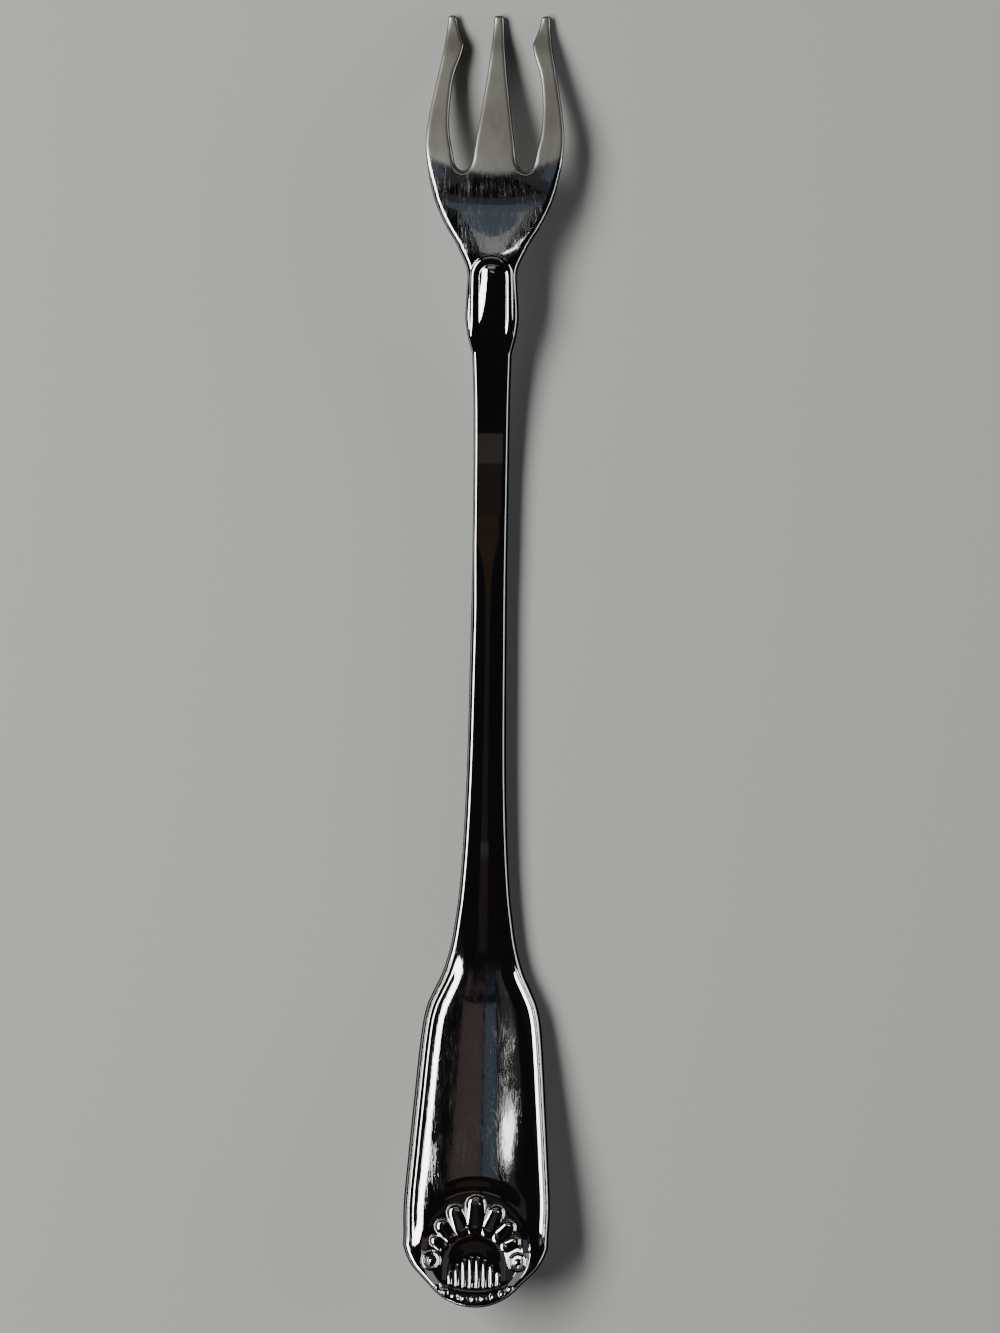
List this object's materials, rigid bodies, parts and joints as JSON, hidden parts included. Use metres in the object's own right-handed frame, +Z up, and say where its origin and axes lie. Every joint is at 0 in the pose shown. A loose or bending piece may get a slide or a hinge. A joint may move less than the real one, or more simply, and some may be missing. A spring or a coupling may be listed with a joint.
{
  "type": "oyster fork",
  "caption": "Small steel fork for oysters, with barbed outer tines, a raised drop on its neck, a thread border and a shell at the end of its handle.",
  "frame": {"origin": "under the middle of the fork's length and width, on the surface that it lies on face down", "axes": "+Y along the fork towards the tine tips, +Z up out of the back of the fork, +X across it"},
  "size_m": [0.0176, 0.155, 0.0094],
  "materials": {
    "polished_steel": "mirror polished stainless steel with fine scratches of use",
    "satin_steel": "satin blasted stainless steel"
  },
  "bodies": {
    "root": {"tine_left": "satin_steel", "tine_centre": "satin_steel", "tine_right": "satin_steel", "head": "polished_steel", "neck_drop": "polished_steel", "shank": "polished_steel", "handle": "polished_steel", "shell_back": "polished_steel", "shell_face": "polished_steel"}
  },
  "joints": []
}
